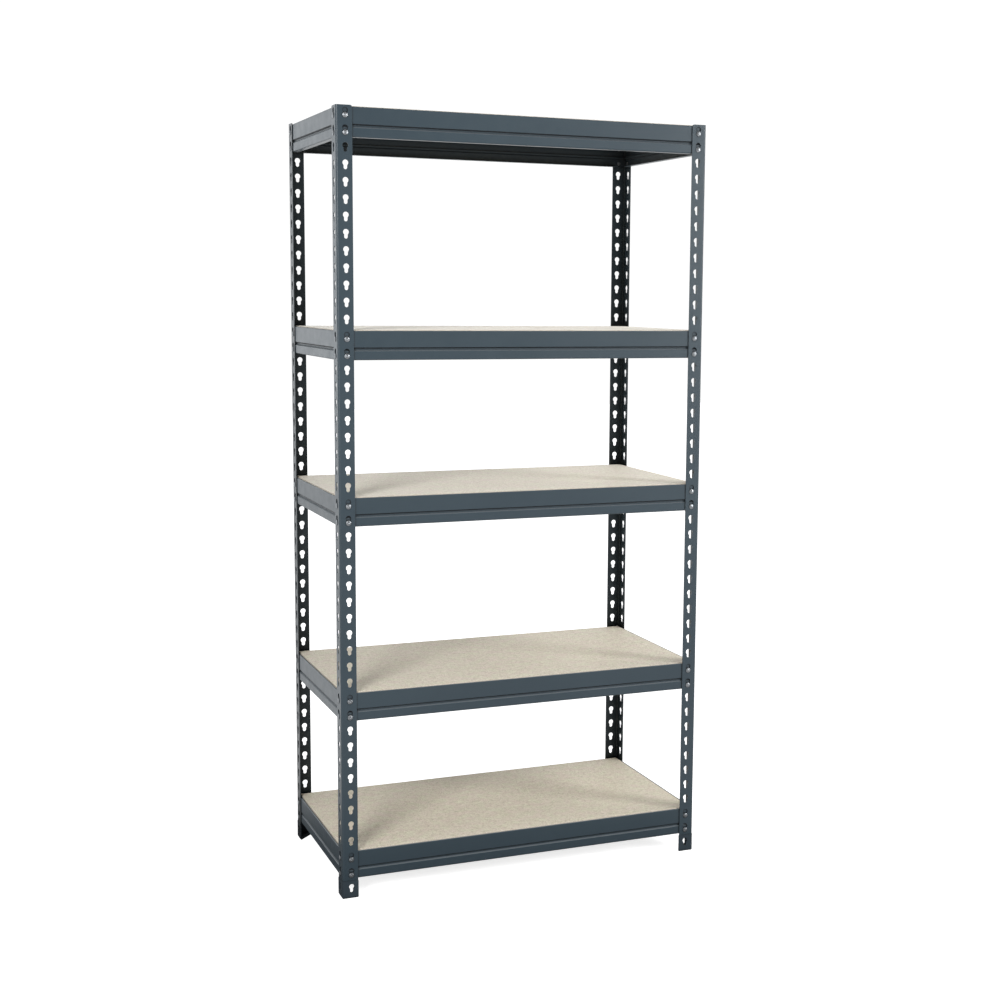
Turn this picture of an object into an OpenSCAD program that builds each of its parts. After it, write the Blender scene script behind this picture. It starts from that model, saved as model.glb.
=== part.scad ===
// Boltless shelving unit: four slotted angle posts with foot caps, five levels of
// four roll-formed beams hooked in by headed rivets, and a loose board on each level.
// Millimetres, +Z up, origin on the floor at the middle of the footprint, front at -Y.

/* [Overall] */
// Width over the outside faces of the posts
unit_width = 920.8; // [600:0.1:1800]
// Depth over the outside faces of the posts
unit_depth = 472; // [300:0.1:900]

/* [Posts] */
// Width of each leg of the angle, from the outside corner
post_leg = 37.5; // [34:0.1:45]
// Sheet thickness of the posts
post_sheet = 1.9; // [1.5:0.1:2.2]
// Outside radius of the fold between the two legs
post_bend = 4.6; // [3.5:0.1:6]
// Rounding of the free corners at both ends of a post
post_corner = 5; // [1:0.5:6]

/* [Keyholes] */
// Number of keyholes down each leg
hole_count = 48; // [48:1:60]
// Distance from one keyhole to the next
hole_pitch = 38.1; // [38:0.1:50]
// Distance from the outside corner of the angle to the middle of the keyholes
hole_column = 21.4; // [18:0.1:24]
// Distance from the top of a post to the middle of the first round opening
hole_start = 11.8; // [10:0.1:15]
// Diameter of the round opening that lets a rivet head through
key_round = 13.4; // [12.8:0.1:14]
// Width of the slot that holds the rivet shank
key_slot = 8.4; // [8.2:0.1:9]
// Distance from the middle of the round opening down to the middle of the slot end
key_drop = 10.4; // [9:0.1:12]

/* [Levels] */
// Keyhole that takes the upper rivets of the top level, counted from 0 at the top
level_1_hole = 0; // [0:1:8]
// Keyhole that takes the upper rivets of the second level
level_2_hole = 13; // [11:1:18]
// Keyhole that takes the upper rivets of the third level
level_3_hole = 23; // [21:1:28]
// Keyhole that takes the upper rivets of the fourth level
level_4_hole = 35; // [31:1:37]
// Keyhole that takes the upper rivets of the bottom level
level_5_hole = 45; // [40:1:45]

/* [Beams] */
// Height of a beam
beam_height = 66.7; // [64:0.1:76]
// Sheet thickness of a beam
beam_sheet = 1.2; // [1:0.1:1.4]
// Distance from the top of a beam down to its upper rivet
rivet_below_top = 19; // [17:0.1:21]
// Distance from the top of a beam down to the middle of its groove
groove_below_top = 42; // [41:0.1:46]
// Height of the groove where it opens on the face
groove_open = 8.8; // [8:0.1:12]
// Depth of the groove behind the face
groove_deep = 3.4; // [2:0.1:3.6]
// How far the board ledge and the bottom lip reach behind the face
ledge_reach = 18; // [12:0.5:20]
// Length of the down-turned edge of the board ledge
ledge_lip = 7; // [4:0.5:10]

/* [Boards] */
// Thickness of a board
board_thickness = 15.9; // [12:0.1:19]
// Gap left all round between a board and the folded top of the beams
board_gap = 2; // [1:0.1:3]
// How far a board stands above the tops of the beams
board_proud = 1.5; // [0:0.1:2]

/* [Rivets] */
// Diameter of the rivet shank where it sits in the slot
shank_diameter = 7.8; // [7:0.1:7.9]
// Diameter of the rivet head
head_diameter = 11.8; // [11:0.1:12.4]
// Height of the rivet head
head_height = 2.4; // [1.6:0.1:3]

/* [Foot caps] */
// Height of a foot cap
foot_height = 43; // [32:0.5:43]
// Wall thickness of a foot cap
foot_wall = 0.8; // [0.6:0.1:2]
// Wall thickness of a foot cap past the free edge of each leg
foot_tip = 0.6; // [0.4:0.1:4]
// Thickness of the pad under the post
foot_pad = 2.2; // [1.5:0.1:5]
// Thickness of the web across the corner of a foot cap
foot_web = 9; // [3:0.5:12]
// Rounding of the lower edges and corners of a foot cap
foot_round = 3.5; // [1:0.5:5]

/* [Hidden] */
$fn = 64;
gap = 0.1;
seat_gap = 0.05;
post_length = hole_count * hole_pitch;
post_top = foot_pad + post_length;
key_r = key_round / 2;
slot_r = key_slot / 2;
shank_r = shank_diameter / 2;
head_r = head_diameter / 2;
level_hole = [level_1_hole, level_2_hole, level_3_hole, level_4_hole, level_5_hole];
rivet_rise = slot_r - shank_r - seat_gap;
first_rivet = post_top - hole_start - key_drop + rivet_rise;
face_x = unit_width / 2 - post_sheet - gap;
face_y = unit_depth / 2 - post_sheet - gap;
front_length = unit_width - 2 * post_bend - 2 * gap;
side_length = unit_depth - 2 * (post_sheet + gap + groove_deep + beam_sheet) - 1.2;
hem_r = 1.8;
hem_deep = 2 * hem_r;
hem_stub = 6;
fold_r = 2;
lip_r = 3;
notch = post_leg - 5.5;
front_inner = unit_width - 2 * notch;
side_inner = unit_depth - 2 * notch;
rivet_x = unit_width / 2 - hole_column;
rivet_y = unit_depth / 2 - hole_column;
hole_r = 3.25;
neck_r = 3.2;
clinch_r = 4.8;
clinch_high = 1.2;
shank_long = gap + post_sheet + gap;
dome_rise = head_height - 1;
dome_r = (head_r * head_r + dome_rise * dome_rise) / (2 * dome_rise);
board_x = face_x - hem_deep - board_gap;
board_y = face_y - hem_deep - board_gap;
steel = [0.44, 0.50, 0.56];
bright = [0.78, 0.79, 0.80];
chipboard = [0.76, 0.70, 0.60];
moulded = [0.36, 0.41, 0.46];
foot_out = foot_wall + gap;
foot_long = post_leg + gap + foot_tip;
rim_round = 2;
far = 100;

// Height of the upper rivets of level n, 1 at the top
function rivet_z(n) = first_rivet - hole_pitch * level_hole[n - 1];

// Height of the beam tops of level n
function top_z(n) = rivet_z(n) + rivet_below_top;

// Outline of one keyhole, round opening centred on the origin
module keyhole(round_r, narrow_r) {
    circle(r = round_r);
    translate([-narrow_r, -key_drop]) square([2 * narrow_r, key_drop]);
    translate([0, -key_drop]) circle(r = narrow_r);
}

// Section of an angle with its outside corner on the origin, legs along +X and +Y
module angle_section(leg, sheet, bend) {
    translate([bend, 0]) square([leg - bend, sheet]);
    translate([0, bend]) square([sheet, leg - bend]);
    translate([bend, bend]) intersection() {
        difference() {
            circle(r = bend);
            circle(r = bend - sheet);
        }
        translate([-bend, -bend]) square(bend);
    }
}

// Cutter that rounds off the far corner of a leg lying in the XZ plane
module corner_cut() {
    rotate([90, 0, 0]) linear_extrude(height = 3 * post_sheet, center = true) difference() {
        square(post_corner + 1);
        circle(r = post_corner);
    }
}

// Two rounded free corners of the leg that lies in the XZ plane
module leg_corners() {
    translate([post_leg - post_corner, 0, post_length - post_corner]) corner_cut();
    translate([post_leg - post_corner, 0, post_corner]) mirror([0, 0, 1]) corner_cut();
}

// Keyholes down the leg that lies in the XZ plane
module leg_holes() {
    for (i = [0 : hole_count - 1])
        translate([hole_column, 0, post_length - hole_start - hole_pitch * i])
            rotate([90, 0, 0])
                linear_extrude(height = 3 * post_sheet, center = true) keyhole(key_r, slot_r);
}

// One post, outside corner on the Z axis
module post() {
    color(steel) difference() {
        linear_extrude(height = post_length) angle_section(post_leg, post_sheet, post_bend);
        leg_holes();
        mirror([1, -1, 0]) leg_holes();
        leg_corners();
        mirror([1, -1, 0]) leg_corners();
    }
}

// Window of a foot cap in front of the lowest keyhole
module foot_window() {
    translate([hole_column, 0, post_top - hole_start - hole_pitch * (hole_count - 1)])
        rotate([90, 0, 0])
            linear_extrude(height = far, center = true) keyhole(key_r - 0.4, slot_r - 0.3);
}

// Cutter that leaves a quarter circle in a corner on the origin that opens to +X +Y
module round_off(r) {
    difference() {
        translate([-1, -1]) square(r + 1);
        translate([r, r]) circle(r = r);
    }
}

// Side view of a foot cap on the X axis, the outside of the post at X = 0
module foot_profile() {
    difference() {
        translate([-foot_out, 0]) square([foot_out + foot_long, foot_height]);
        translate([-foot_out, 0]) round_off(foot_round);
        translate([foot_long, 0]) mirror([1, 0]) round_off(foot_round);
        translate([foot_long, foot_height]) rotate(180) round_off(rim_round);
    }
}

// Everything within the side view seen along Y
module foot_envelope() {
    rotate([90, 0, 0]) linear_extrude(height = far, center = true) foot_profile();
}

// Window in the leg of a foot cap that lies in the XZ plane
module foot_opening() {
    intersection() {
        foot_window();
        translate([0, -foot_out - 1, 0]) cube([post_leg, post_sheet + 2 * foot_out + 2, foot_height]);
    }
}

// One foot cap, the outside corner of its post on the Z axis, its leg along X open or closed
module foot(open_x) {
    color(moulded) difference() {
        intersection() {
            union() {
                translate([-foot_out, -foot_out, 0]) linear_extrude(height = foot_height)
                    angle_section(foot_out + foot_long, post_sheet + 2 * foot_out, post_bend + foot_out);
                linear_extrude(height = foot_web)
                    polygon([[1, 1], [post_leg, 1], [1, post_leg]]);
            }
            foot_envelope();
            mirror([1, -1, 0]) foot_envelope();
        }
        translate([-gap, -gap, foot_pad]) linear_extrude(height = foot_height)
            angle_section(post_leg + 2 * gap, post_sheet + 2 * gap, post_bend + gap);
        if (open_x) foot_opening();
        mirror([1, -1, 0]) foot_opening();
    }
}

// Face of a beam: depth behind the face along X, height below the top along -Y
module face_section() {
    half = groove_open / 2;
    flat = half - groove_deep * 0.85;
    translate([hem_r, -hem_r]) intersection() {
        difference() {
            circle(r = hem_r);
            circle(r = hem_r - beam_sheet);
        }
        translate([-hem_r, 0]) square([2 * hem_r, hem_r]);
    }
    translate([hem_deep - beam_sheet, -hem_stub]) square([beam_sheet, hem_stub - hem_r]);
    translate([0, half - groove_below_top])
        square([beam_sheet, groove_below_top - half - hem_r]);
    translate([0, -groove_below_top]) polygon([
        [0, half],
        [beam_sheet, half],
        [groove_deep + beam_sheet, flat + 0.5],
        [groove_deep + beam_sheet, -flat - 0.5],
        [beam_sheet, -half],
        [0, -half],
        [groove_deep, -flat],
        [groove_deep, flat]
    ]);
    translate([0, lip_r - beam_height])
        square([beam_sheet, beam_height - groove_below_top - half - lip_r]);
    translate([lip_r, lip_r - beam_height]) intersection() {
        difference() {
            circle(r = lip_r);
            circle(r = lip_r - beam_sheet);
        }
        translate([-lip_r, -lip_r]) square(lip_r);
    }
}

// Inner leg, board ledge and its down-turned edge
module ledge_section() {
    low = board_proud - board_thickness - seat_gap;
    translate([hem_deep - beam_sheet, low + fold_r - beam_sheet])
        square([beam_sheet, -low - fold_r + beam_sheet - hem_stub]);
    translate([hem_deep + fold_r - beam_sheet, low + fold_r - beam_sheet]) intersection() {
        difference() {
            circle(r = fold_r);
            circle(r = fold_r - beam_sheet);
        }
        translate([-fold_r, -fold_r]) square(fold_r);
    }
    translate([hem_deep + fold_r - beam_sheet, low - beam_sheet])
        square([ledge_reach - hem_deep - 2 * fold_r + beam_sheet, beam_sheet]);
    translate([ledge_reach - fold_r, low - fold_r]) intersection() {
        difference() {
            circle(r = fold_r);
            circle(r = fold_r - beam_sheet);
        }
        square(fold_r);
    }
    translate([ledge_reach - beam_sheet, low - ledge_lip])
        square([beam_sheet, ledge_lip - fold_r]);
}

// Bottom lip
module lip_section() {
    translate([lip_r, -beam_height]) square([ledge_reach - lip_r - 2, beam_sheet]);
}

// Extrude a section along X, depth to +Y
module along_x(length) {
    rotate([90, 0, 90]) linear_extrude(height = length, center = true) children();
}

// One beam along X, its face in the XZ plane, its top at height 0
module beam(full, inner, rivet_at) {
    color(steel) difference() {
        union() {
            along_x(full) face_section();
            along_x(inner) ledge_section();
            along_x(inner) lip_section();
        }
        for (s = [-1, 1], z = [0, hole_pitch])
            translate([s * rivet_at, 0, -rivet_below_top - z])
                rotate([90, 0, 0]) cylinder(r = hole_r, h = 2.4 * beam_sheet, center = true);
    }
}

// One rivet, its axis along Z, the face of the beam at height 0, its head at the top
module rivet() {
    rotate_extrude() difference() {
        union() {
            translate([0, -beam_sheet - clinch_high]) square([clinch_r, clinch_high]);
            translate([0, -beam_sheet]) square([neck_r, beam_sheet]);
            square([shank_r, shank_long]);
            translate([0, shank_long]) intersection() {
                square([head_r, head_height]);
                translate([0, head_height - dome_r]) circle(r = dome_r);
            }
        }
        translate([0, shank_long + head_height + 1.7]) circle(r = 2.3);
    }
}

// The four rivets of one beam
module beam_rivets(rivet_at) {
    for (s = [-1, 1], z = [0, hole_pitch])
        translate([s * rivet_at, 0, -rivet_below_top - z]) rotate([90, 0, 0]) rivet();
}

module front_place(n) {
    translate([0, -face_y, top_z(n)]) children();
}

module rear_place(n) {
    translate([0, face_y, top_z(n)]) rotate([0, 0, 180]) children();
}

module left_place(n) {
    translate([-face_x, 0, top_z(n)]) rotate([0, 0, -90]) children();
}

module right_place(n) {
    translate([face_x, 0, top_z(n)]) rotate([0, 0, 90]) children();
}

module long_beam() {
    beam(front_length, front_inner, rivet_x);
}

module short_beam() {
    beam(side_length, side_inner, rivet_y);
}

// All sixteen rivets of level n
module rivets(n) {
    color(bright) {
        front_place(n) beam_rivets(rivet_x);
        rear_place(n) beam_rivets(rivet_x);
        left_place(n) beam_rivets(rivet_y);
        right_place(n) beam_rivets(rivet_y);
    }
}

// Board of level n
module board(n) {
    color(chipboard) translate([-board_x, -board_y, top_z(n) + board_proud - board_thickness])
        cube([2 * board_x, 2 * board_y, board_thickness]);
}

module post_front_left() {
    translate([-unit_width / 2, -unit_depth / 2, foot_pad]) post();
}

module post_front_right() {
    mirror([1, 0, 0]) post_front_left();
}

module post_rear_left() {
    mirror([0, 1, 0]) post_front_left();
}

module post_rear_right() {
    rotate([0, 0, 180]) post_front_left();
}

module foot_front_left(open_x = true) {
    translate([-unit_width / 2, -unit_depth / 2, 0]) foot(open_x);
}

module foot_front_right() {
    mirror([1, 0, 0]) foot_front_left();
}

module foot_rear_left() {
    mirror([0, 1, 0]) foot_front_left(false);
}

module foot_rear_right() {
    rotate([0, 0, 180]) foot_front_left(false);
}

module beam_1_front() {
    front_place(1) long_beam();
}

module beam_1_rear() {
    rear_place(1) long_beam();
}

module beam_1_left() {
    left_place(1) short_beam();
}

module beam_1_right() {
    right_place(1) short_beam();
}

module rivets_1() {
    rivets(1);
}

module board_1() {
    board(1);
}

module beam_2_front() {
    front_place(2) long_beam();
}

module beam_2_rear() {
    rear_place(2) long_beam();
}

module beam_2_left() {
    left_place(2) short_beam();
}

module beam_2_right() {
    right_place(2) short_beam();
}

module rivets_2() {
    rivets(2);
}

module board_2() {
    board(2);
}

module beam_3_front() {
    front_place(3) long_beam();
}

module beam_3_rear() {
    rear_place(3) long_beam();
}

module beam_3_left() {
    left_place(3) short_beam();
}

module beam_3_right() {
    right_place(3) short_beam();
}

module rivets_3() {
    rivets(3);
}

module board_3() {
    board(3);
}

module beam_4_front() {
    front_place(4) long_beam();
}

module beam_4_rear() {
    rear_place(4) long_beam();
}

module beam_4_left() {
    left_place(4) short_beam();
}

module beam_4_right() {
    right_place(4) short_beam();
}

module rivets_4() {
    rivets(4);
}

module board_4() {
    board(4);
}

module beam_5_front() {
    front_place(5) long_beam();
}

module beam_5_rear() {
    rear_place(5) long_beam();
}

module beam_5_left() {
    left_place(5) short_beam();
}

module beam_5_right() {
    right_place(5) short_beam();
}

module rivets_5() {
    rivets(5);
}

module board_5() {
    board(5);
}

post_front_left();
post_front_right();
post_rear_left();
post_rear_right();
foot_front_left();
foot_front_right();
foot_rear_left();
foot_rear_right();
beam_1_front();
beam_1_rear();
beam_1_left();
beam_1_right();
rivets_1();
board_1();
beam_2_front();
beam_2_rear();
beam_2_left();
beam_2_right();
rivets_2();
board_2();
beam_3_front();
beam_3_rear();
beam_3_left();
beam_3_right();
rivets_3();
board_3();
beam_4_front();
beam_4_rear();
beam_4_left();
beam_4_right();
rivets_4();
board_4();
beam_5_front();
beam_5_rear();
beam_5_left();
beam_5_right();
rivets_5();
board_5();
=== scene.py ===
"""Looks for a boltless shelving unit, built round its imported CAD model. Metres, +Z up, front at -Y."""
import math
import random

import bmesh
import bpy
from mathutils import Matrix, Vector


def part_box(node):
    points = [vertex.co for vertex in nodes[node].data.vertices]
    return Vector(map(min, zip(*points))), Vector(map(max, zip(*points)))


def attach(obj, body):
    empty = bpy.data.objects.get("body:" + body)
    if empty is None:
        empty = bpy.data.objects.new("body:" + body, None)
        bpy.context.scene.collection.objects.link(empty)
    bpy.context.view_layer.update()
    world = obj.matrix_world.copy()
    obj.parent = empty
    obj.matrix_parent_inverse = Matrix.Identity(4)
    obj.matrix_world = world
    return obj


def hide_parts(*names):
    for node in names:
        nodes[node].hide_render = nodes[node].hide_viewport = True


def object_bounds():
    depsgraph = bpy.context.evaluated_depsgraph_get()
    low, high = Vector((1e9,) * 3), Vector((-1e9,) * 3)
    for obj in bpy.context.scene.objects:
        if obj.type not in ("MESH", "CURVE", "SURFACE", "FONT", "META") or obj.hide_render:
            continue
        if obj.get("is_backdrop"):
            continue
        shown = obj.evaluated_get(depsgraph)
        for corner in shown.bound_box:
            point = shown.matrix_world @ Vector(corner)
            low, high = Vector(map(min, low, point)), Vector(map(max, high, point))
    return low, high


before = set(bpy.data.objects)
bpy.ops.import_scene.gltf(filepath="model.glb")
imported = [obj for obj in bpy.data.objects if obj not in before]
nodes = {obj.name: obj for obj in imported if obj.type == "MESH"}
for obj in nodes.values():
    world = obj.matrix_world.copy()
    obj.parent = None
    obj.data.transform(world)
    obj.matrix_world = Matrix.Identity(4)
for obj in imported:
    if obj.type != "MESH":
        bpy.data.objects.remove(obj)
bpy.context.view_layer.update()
LEVELS = range(1, 6)


# ---------------------------------------------------------------- shader helpers
class Nodes:
    """Short calls for building the node tree of a material or a world."""

    def __init__(self, owner):
        owner.use_nodes = True
        self.tree = owner.node_tree

    def add(self, kind, **settings):
        node = self.tree.nodes.new(f"ShaderNode{kind}")
        for key, value in settings.items():
            setattr(node, key, value)
        return node

    def link(self, value, socket):
        """Feeds a socket from another socket, or sets its own value."""
        if isinstance(value, bpy.types.NodeSocket):
            self.tree.links.new(value, socket)
        else:
            socket.default_value = value

    def span(self, value, low, high, to_low, to_high, curve="LINEAR"):
        """Carries the range low..high over to to_low..to_high, clamped at both ends."""
        node = self.add("MapRange", interpolation_type=curve)
        self.link(value, node.inputs["Value"])
        ends = {"From Min": low, "From Max": high, "To Min": to_low, "To Max": to_high}
        for key, end in ends.items():
            node.inputs[key].default_value = end
        return node.outputs["Result"]

    def smooth(self, value, *limits):
        """The same with eased ends."""
        return self.span(value, *limits, curve="SMOOTHSTEP")

    def math(self, operation, a, b=0.0):
        node = self.add("Math", operation=operation)
        self.link(a, node.inputs[0])
        self.link(b, node.inputs[1])
        return node.outputs["Value"]

    def split(self, vector):
        node = self.add("SeparateXYZ")
        self.link(vector, node.inputs["Vector"])
        return node.outputs

    def output(self, light, view, kind):
        """One shader for the light it gives, another for what the camera sees of it."""
        mix = self.add("MixShader")
        self.link(self.add("LightPath").outputs["Is Camera Ray"], mix.inputs["Fac"])
        self.link(light, mix.inputs[1])
        self.link(view, mix.inputs[2])
        self.link(mix.outputs[0], self.add(kind).inputs["Surface"])


class Shader(Nodes):
    """A material with one Principled shader, and calls for the textures used here."""

    def __init__(self, name):
        self.mat = bpy.data.materials.new(name)
        super().__init__(self.mat)
        self.bsdf = self.tree.nodes["Principled BSDF"]
        self.where = self.add("TexCoord").outputs["Object"]

    def scaled(self, factors, source=None):
        node = self.add("Mapping")
        self.link(source or self.where, node.inputs["Vector"])
        node.inputs["Scale"].default_value = factors
        return node.outputs["Vector"]

    def noise(self, scale, detail=2.0, rough=0.5, source=None, colour=False):
        node = self.add("TexNoise")
        self.link(source or self.where, node.inputs["Vector"])
        node.inputs["Scale"].default_value = scale
        node.inputs["Detail"].default_value = detail
        node.inputs["Roughness"].default_value = rough
        return node.outputs["Color" if colour else "Fac"]

    def cells(self, scale, source, output="Color"):
        node = self.add("TexVoronoi")
        self.link(source, node.inputs["Vector"])
        node.inputs["Scale"].default_value = scale
        return node.outputs[output]

    def ramp(self, value, *stops):
        node = self.add("ValToRGB")
        while len(node.color_ramp.elements) < len(stops):
            node.color_ramp.elements.new(0.5)
        for element, (at, colour) in zip(node.color_ramp.elements, stops):
            element.position = at
            element.color = (*colour, 1.0)
        self.link(value, node.inputs["Fac"])
        return node.outputs["Color"]

    def mask(self, value, low, high):
        """Black below low, white above high."""
        return self.ramp(value, (low, (0, 0, 0)), (high, (1, 1, 1)))

    def mix(self, share, a, b, blend="MIX"):
        node = self.add("Mix", data_type="RGBA", blend_type=blend)
        self.link(share, node.inputs["Factor"])
        self.link(a if not isinstance(a, tuple) else (*a, 1.0), node.inputs["A"])
        self.link(b if not isinstance(b, tuple) else (*b, 1.0), node.inputs["B"])
        return node.outputs["Result"]

    def normal_z(self):
        """Height of the surface normal: 1 faces up, -1 faces down."""
        return self.split(self.add("NewGeometry").outputs["Normal"])["Z"]

    def openness(self, reach):
        """1 on an open face, towards 0 in a recess narrower than the reach."""
        node = self.add("AmbientOcclusion", samples=6)
        node.inputs["Distance"].default_value = reach
        return node.outputs["AO"]

    def edge_share(self, radius, low, high):
        """About 1 on an edge and 0 on a flat face."""
        bevel = self.add("Bevel", samples=4)
        bevel.inputs["Radius"].default_value = radius
        dot = self.add("VectorMath", operation="DOT_PRODUCT")
        self.link(bevel.outputs["Normal"], dot.inputs[0])
        self.link(self.add("NewGeometry").outputs["Normal"], dot.inputs[1])
        return self.span(dot.outputs["Value"], high, low, 0.0, 1.0)

    def bump(self, height, strength, distance, under=None):
        node = self.add("Bump")
        node.inputs["Strength"].default_value = strength
        node.inputs["Distance"].default_value = distance
        self.link(height, node.inputs["Height"])
        if under is not None:
            self.link(under, node.inputs["Normal"])
        return node.outputs["Normal"]

    def set(self, **values):
        for key, value in values.items():
            self.link(value, self.bsdf.inputs[key.replace("_", " ")])


# ---------------------------------------------------------------- materials
# How far the shading of creases, recesses and the inside of a level reaches
CREASE, RECESS, INSIDE = 0.005, 0.012, 0.09
SHADE = (0.004, 0.006, 0.008)
SLATE_DARK = (0.0275, 0.0430, 0.0550)
SLATE_LIGHT = (0.0335, 0.0515, 0.0645)
SLATE_GRAIN = (0.080, 0.110, 0.135)
SLATE_SMUDGE = (0.018, 0.028, 0.038)
SLATE_WORN_AND_LIT = (0.135, 0.160, 0.177)


def paint():
    """Slate powder coat: orange peel, drift of tone, wear and painted highlight on edges, dust and
    painted light on top, painted shade in recesses, creases and underneath.
    """
    s = Shader("slate_powder_coat")
    colour = s.ramp(s.noise(2.6, 3.0, 0.55), (0.30, SLATE_DARK), (0.72, SLATE_LIGHT))
    colour = s.mix(s.span(s.noise(1500.0, 2.0), 0.3, 0.7, 0.0, 0.12), colour, SLATE_GRAIN)
    smudge = s.mask(s.noise(21.0, 4.0, 0.62), 0.52, 0.78)
    colour = s.mix(s.math("MULTIPLY", smudge, 0.12), colour, SLATE_SMUDGE)

    rise = s.normal_z()
    recess = s.openness(RECESS)
    # Lighter edges: partly wear, partly a painted highlight.
    edge_wear_and_highlight = s.math("MULTIPLY", s.edge_share(0.0007, 0.86, 0.99), s.span(recess, 0.55, 0.85, 0.0, 0.45))
    # Lighter upward faces: partly dust, partly painted light from above.
    dust_and_top_light = s.span(rise, 0.30, 0.75, 0.0, 0.85)
    colour = s.mix(s.math("MAXIMUM", edge_wear_and_highlight, dust_and_top_light), colour, SLATE_WORN_AND_LIT)

    # Painted shade: on downward faces in recesses, in narrow creases, in recesses, and deeper inside a
    # level.
    under = s.span(recess, 0.985, 0.86, 0.0, 0.95)
    under = s.math("MULTIPLY", under, s.span(rise, -0.15, -0.50, 0.0, 1.0))
    crease = s.span(s.openness(CREASE), 0.60, 0.95, 0.95, 0.0)
    crease = s.math("MULTIPLY", crease, s.span(rise, 0.25, 0.70, 1.0, 0.2))
    shade = s.math("MAXIMUM", under, s.span(recess, 0.34, 0.88, 0.94, 0.0))
    shade = s.math("MAXIMUM", shade, crease)
    shade = s.math("MAXIMUM", shade, s.span(s.openness(INSIDE), 0.35, 0.80, 0.85, 0.0))
    s.set(Base_Color=s.mix(shade, colour, SHADE))

    rough = s.span(s.noise(38.0, 3.0), 0.3, 0.7, 0.37, 0.43)
    s.set(Roughness=s.math("ADD", rough, s.math("MULTIPLY", shade, 0.3)), Specular_IOR_Level=0.42)
    peel = s.bump(s.noise(620.0, 1.5), 0.05, 0.0004)
    s.set(Normal=s.bump(s.noise(2600.0, 1.0), 0.04, 0.0002, peel))
    return s.mat


def zinc():
    """Dull plated steel for the rivets, with painted shade where the head meets the post."""
    s = Shader("zinc_plated_steel")
    tone = s.noise(260.0, 3.0, 0.6)
    colour = s.ramp(tone, (0.3, (0.17, 0.185, 0.20)), (0.75, (0.36, 0.375, 0.39)))
    shade = s.span(s.openness(0.008), 0.35, 0.85, 0.85, 0.0)
    s.set(Base_Color=s.mix(shade, colour, (0.03, 0.035, 0.04)))
    s.set(Metallic=0.9, Roughness=s.span(tone, 0.3, 0.7, 0.34, 0.50))
    s.set(Normal=s.bump(s.noise(1300.0, 2.0), 0.18, 0.0003))
    return s.mat


def moulded():
    """Foot caps: moulded plastic in the colour of the posts, fine spark-eroded grain."""
    s = Shader("moulded_slate_plastic")
    colour = s.ramp(s.noise(14.0, 2.0), (0.3, (0.024, 0.036, 0.047)), (0.7, (0.030, 0.044, 0.056)))
    shade = s.span(s.openness(RECESS), 0.20, 0.80, 0.85, 0.0)
    s.set(Base_Color=s.mix(shade, colour, SHADE))
    s.set(Roughness=s.span(s.noise(90.0, 2.0), 0.3, 0.7, 0.48, 0.60), Specular_IOR_Level=0.45)
    s.set(Normal=s.bump(s.noise(1900.0, 2.0), 0.16, 0.0003))
    return s.mat


def chipboard():
    """Sanded particle board: flat pale chips in a finer tan ground, coarse open sawn edges."""
    s = Shader("sanded_particle_board")
    sway = 0.004
    bent = s.add("VectorMath", operation="MULTIPLY_ADD")
    s.link(s.noise(55.0, 2.0, colour=True), bent.inputs[0])
    bent.inputs[1].default_value = (sway, sway, sway)
    s.link(s.where, bent.inputs[2])
    here = bent.outputs["Vector"]

    along = s.add("SeparateColor")
    s.link(s.cells(210.0, s.scaled((1.0, 2.3, 1.6), here)), along.inputs["Color"])
    chips_along = s.ramp(
        along.outputs["Red"],
        (0.00, (0.42, 0.34, 0.25)),
        (0.18, (0.62, 0.54, 0.43)),
        (0.60, (0.76, 0.69, 0.58)),
        (1.00, (0.88, 0.82, 0.72)),
    )
    across = s.add("SeparateColor")
    s.link(s.cells(250.0, s.scaled((2.5, 1.0, 1.6), here)), across.inputs["Color"])
    chips_across = s.ramp(
        across.outputs["Green"],
        (0.00, (0.40, 0.32, 0.23)),
        (0.22, (0.66, 0.58, 0.46)),
        (1.00, (0.87, 0.81, 0.71)),
    )
    colour = s.mix(s.mask(s.noise(170.0, 1.0), 0.47, 0.53), chips_along, chips_across)
    fines = s.ramp(s.noise(900.0, 3.0, 0.7), (0.35, (0.56, 0.48, 0.38)), (0.65, (0.92, 0.86, 0.76)))
    colour = s.mix(0.25, colour, fines)
    clump = s.ramp(s.noise(85.0, 3.0, 0.6), (0.34, (0.86, 0.84, 0.80)), (0.66, (1.0, 1.0, 1.0)))
    colour = s.mix(1.0, colour, clump, "MULTIPLY")
    tint = s.ramp(s.noise(34.0, 2.0), (0.35, (1.0, 0.960, 0.950)), (0.65, (0.980, 1.03, 0.930)))
    colour = s.mix(1.0, colour, tint, "MULTIPLY")
    drift = s.span(s.noise(3.2, 3.0, 0.6), 0.35, 0.70, 0.0, 0.25)
    colour = s.mix(drift, colour, (0.74, 0.69, 0.55))

    side = s.math("LESS_THAN", s.math("ABSOLUTE", s.normal_z()), 0.9)
    sawn = s.ramp(
        s.noise(420.0, 4.0, 0.75, s.scaled((1.0, 1.0, 2.2))),
        (0.30, (0.26, 0.20, 0.14)),
        (0.46, (0.58, 0.51, 0.41)),
        (0.70, (0.88, 0.83, 0.74)),
    )
    s.set(Base_Color=s.mix(side, colour, sawn), Roughness=0.58, Specular_IOR_Level=0.5)
    s.set(Sheen_Weight=0.28, Sheen_Roughness=0.4)
    pits = s.math("MULTIPLY", s.noise(520.0, 3.0, 0.7), s.span(side, 0.0, 1.0, 1.0, 3.0))
    pitted = s.bump(pits, 0.30, 0.0004)
    s.set(Normal=s.bump(s.cells(240.0, here, "Distance"), 0.12, 0.0004, pitted))
    return s.mat


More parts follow.
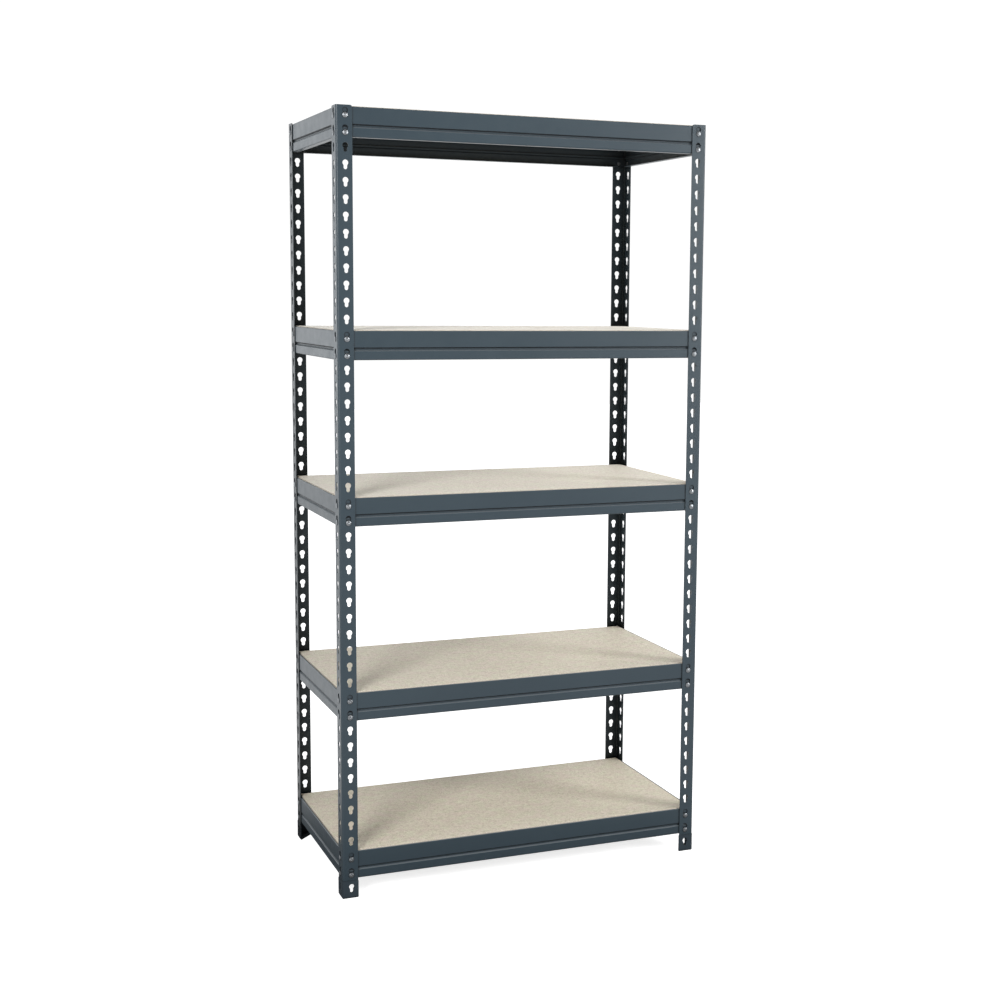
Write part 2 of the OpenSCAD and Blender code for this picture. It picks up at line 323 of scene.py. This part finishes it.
PAINT, ZINC, CHIP, MOULD = paint(), zinc(), chipboard(), moulded()
MATERIALS = {"post": PAINT, "beam": PAINT, "rivets": ZINC, "board": CHIP, "foot": MOULD}
for name, obj in nodes.items():
    obj.data.materials.clear()
    obj.data.materials.append(MATERIALS[name.split("_")[0]])


# ---------------------------------------------------------------- boards
EDGE_STEP = 0.007
EASED_EDGE = 0.0007
CHIP_DEPTH = {"bottom": 0.0016, "top": 0.0013}
SEED_BASE = 40


def board_mesh(name, low, high, seed):
    """A sawn board: eased edges, small chips knocked out of the arrises."""
    rng = random.Random(seed)
    size = high - low

    def side(length):
        count = round(length / EDGE_STEP)
        return [length * i / count for i in range(count)]

    outline = [(x, 0.0) for x in side(size.x)]
    outline += [(size.x, y) for y in side(size.y)]
    outline += [(size.x - x, size.y) for x in side(size.x)]
    outline += [(0.0, size.y - y) for y in side(size.y)]

    def ring(bm, z, inset, chip):
        out = []
        for x, y in outline:
            cut = inset + (rng.random() ** 6) * chip
            px = min(max(x, cut), size.x - cut)
            py = min(max(y, cut), size.y - cut)
            out.append(bm.verts.new((low.x + px, low.y + py, low.z + z)))
        return out

    bm = bmesh.new()
    rings = [
        ring(bm, 0.0, EASED_EDGE, CHIP_DEPTH["bottom"]),
        ring(bm, EASED_EDGE, 0.0, 0.0),
        ring(bm, size.z * 0.5, 0.0, 0.0),
        ring(bm, size.z - EASED_EDGE, 0.0, 0.0),
        ring(bm, size.z, EASED_EDGE, CHIP_DEPTH["top"]),
    ]
    n = len(outline)
    for a, b in zip(rings, rings[1:]):
        for i in range(n):
            j = (i + 1) % n
            bm.faces.new((a[i], a[j], b[j], b[i]))
    bm.faces.new(rings[-1])
    bm.faces.new(list(reversed(rings[0])))
    mesh = bpy.data.meshes.new(name)
    bm.to_mesh(mesh)
    bm.free()
    return mesh


for k in LEVELS:
    low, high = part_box(f"board_{k}")
    mesh = board_mesh(f"particle_board_{k}", low, high, SEED_BASE + k)
    piece = bpy.data.objects.new(f"particle_board_{k}", mesh)
    bpy.context.scene.collection.objects.link(piece)
    piece.data.materials.append(CHIP)
    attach(piece, f"deck_{k}")
    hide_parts(f"board_{k}")


# ---------------------------------------------------------------- floor
FLOOR_SIZE = 15.0
FLOOR_DROP = 0.0002
FLOOR_GREY = {"as_light": 0.16, "seen": 0.86}
FLOOR_LIGHT = {"front": 0.62, "back": 1.2}
FLOOR_GLOW = {"near": 0.78, "far": 1.1}
# From front to back, where the light that the floor gives starts to rise and is at its full
LIGHT_SLOPE = (-0.2, 1.2)
# Distances from the middle of the unit, where it starts to give light and where it gives all of it
LIGHT_RANGE = (0.52, 1.0)
# The same for the glow that the camera sees
GLOW_RANGE = (0.9, 3.0)


def floor_material():
    """Pale floor: white with a faint contact shadow to the camera; as a light, dark near the unit."""
    mat = bpy.data.materials.new("pale_floor")
    n = Nodes(mat)
    n.tree.nodes.clear()
    here = n.add("TexCoord").outputs["Object"]
    length = n.add("VectorMath", operation="LENGTH")
    n.link(here, length.inputs[0])
    away = length.outputs["Value"]

    def surface(grey, strength):
        diffuse = n.add("BsdfDiffuse")
        diffuse.inputs["Color"].default_value = (grey, grey, grey, 1)
        glow = n.add("Emission")
        n.link(strength, glow.inputs["Strength"])
        both = n.add("AddShader")
        n.link(diffuse.outputs[0], both.inputs[0])
        n.link(glow.outputs[0], both.inputs[1])
        return both.outputs[0]

    front_to_back = n.smooth(n.split(here)["Y"], *LIGHT_SLOPE, FLOOR_LIGHT["front"], FLOOR_LIGHT["back"])
    light = n.math("MULTIPLY", n.smooth(away, *LIGHT_RANGE, 0.0, 1.0), front_to_back)
    glow = n.smooth(away, *GLOW_RANGE, FLOOR_GLOW["near"], FLOOR_GLOW["far"])
    n.output(surface(FLOOR_GREY["as_light"], light), surface(FLOOR_GREY["seen"], glow), "OutputMaterial")
    return mat


bm = bmesh.new()
bmesh.ops.create_grid(bm, x_segments=1, y_segments=1, size=FLOOR_SIZE)
floor_mesh = bpy.data.meshes.new("floor")
bm.to_mesh(floor_mesh)
bm.free()
floor = bpy.data.objects.new("floor", floor_mesh)
floor.location.z = -FLOOR_DROP
floor_mesh.materials.append(floor_material())
bpy.context.scene.collection.objects.link(floor)
floor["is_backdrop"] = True


# ---------------------------------------------------------------- world and lamps
WORLD_LIGHT = {"band": 1.75, "all_round": 0.17}
# On a unit sphere: towards the back, where the band starts and is full
BAND_BEHIND = (0.25, 0.85)
# and upwards, where it ends and is full
BAND_HEIGHT = (0.50, 0.02)
WORLD_SEEN = 1.05
LAMP_AIM = (0.0, 0.0, 0.9)
REAR = [name for name in nodes if "rear" in name]


def studio_world():
    """White to the camera. As light: a low bright band behind the unit, and weak light from all round."""
    world = bpy.data.worlds.new("studio")
    bpy.context.scene.world = world
    n = Nodes(world)
    n.tree.nodes.clear()
    axes = n.split(n.add("TexCoord").outputs["Generated"])
    behind = n.smooth(axes["Y"], *BAND_BEHIND, 0.0, WORLD_LIGHT["band"])
    band = n.math("MULTIPLY", behind, n.smooth(axes["Z"], *BAND_HEIGHT, 0.0, 1.0))

    def background(colour, strength):
        node = n.add("Background")
        node.inputs["Color"].default_value = (*colour, 1)
        n.link(strength, node.inputs["Strength"])
        return node.outputs[0]

    light = background((0.97, 0.985, 1.0), n.math("ADD", band, WORLD_LIGHT["all_round"]))
    n.output(light, background((1, 1, 1), WORLD_SEEN), "OutputWorld")


def softbox(name, place, width, height, watts):
    """An area lamp aimed at the unit; the rear posts, beams and caps are not lit by it."""
    lamp = bpy.data.lights.new(name, "AREA")
    lamp.shape = "RECTANGLE"
    lamp.size, lamp.size_y = width, height
    lamp.energy = watts
    obj = bpy.data.objects.new(name, lamp)
    obj.location = place
    obj.rotation_mode = "QUATERNION"
    obj.rotation_quaternion = (Vector(LAMP_AIM) - Vector(place)).to_track_quat("-Z", "Y")
    bpy.context.scene.collection.objects.link(obj)
    receivers = bpy.data.collections.new(f"{name}_receivers")
    for node in REAR:
        receivers.objects.link(nodes[node])
    for member in receivers.collection_objects:
        member.light_linking.link_state = "EXCLUDE"
    obj.light_linking.receiver_collection = receivers


studio_world()
softbox("softbox_left", (-3.2, -3.65, 2.6), 1.6, 1.6, 197.0)
softbox("softbox_right", (3.2, -2.85, 1.95), 1.2, 1.6, 105.0)
softbox("softbox_top", (2.6, -0.4, 3.2), 1.2, 1.2, 32.0)


# ---------------------------------------------------------------- camera
def camera():
    """The viewpoint of the reference picture: eye height 1.42 m, 3.9 m away, from the front left."""
    place = (-1.3405, -3.7023, 1.4185)
    yaw, pitch, roll = 0.39926, -0.12740, 0.00994
    ahead = Vector((math.sin(yaw) * math.cos(pitch), math.cos(yaw) * math.cos(pitch), math.sin(pitch)))
    right = Vector((math.cos(yaw), -math.sin(yaw), 0.0))
    up = right.cross(ahead)
    x = right * math.cos(roll) + up * math.sin(roll)
    y = up * math.cos(roll) - right * math.sin(roll)
    data = bpy.data.cameras.new("camera")
    data.sensor_width = 36.0
    data.lens = 56.35
    data.shift_x, data.shift_y = -0.0747, -0.0048
    data.clip_start, data.clip_end = 0.05, 60.0
    obj = bpy.data.objects.new("camera", data)
    obj.matrix_world = Matrix.Translation(place) @ Matrix((x, y, -ahead)).transposed().to_4x4()
    bpy.context.scene.collection.objects.link(obj)
    bpy.context.scene.camera = obj


camera()
bpy.context.scene.view_settings.view_transform = "Standard"
bpy.context.scene.view_settings.look = "None"

low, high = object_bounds()
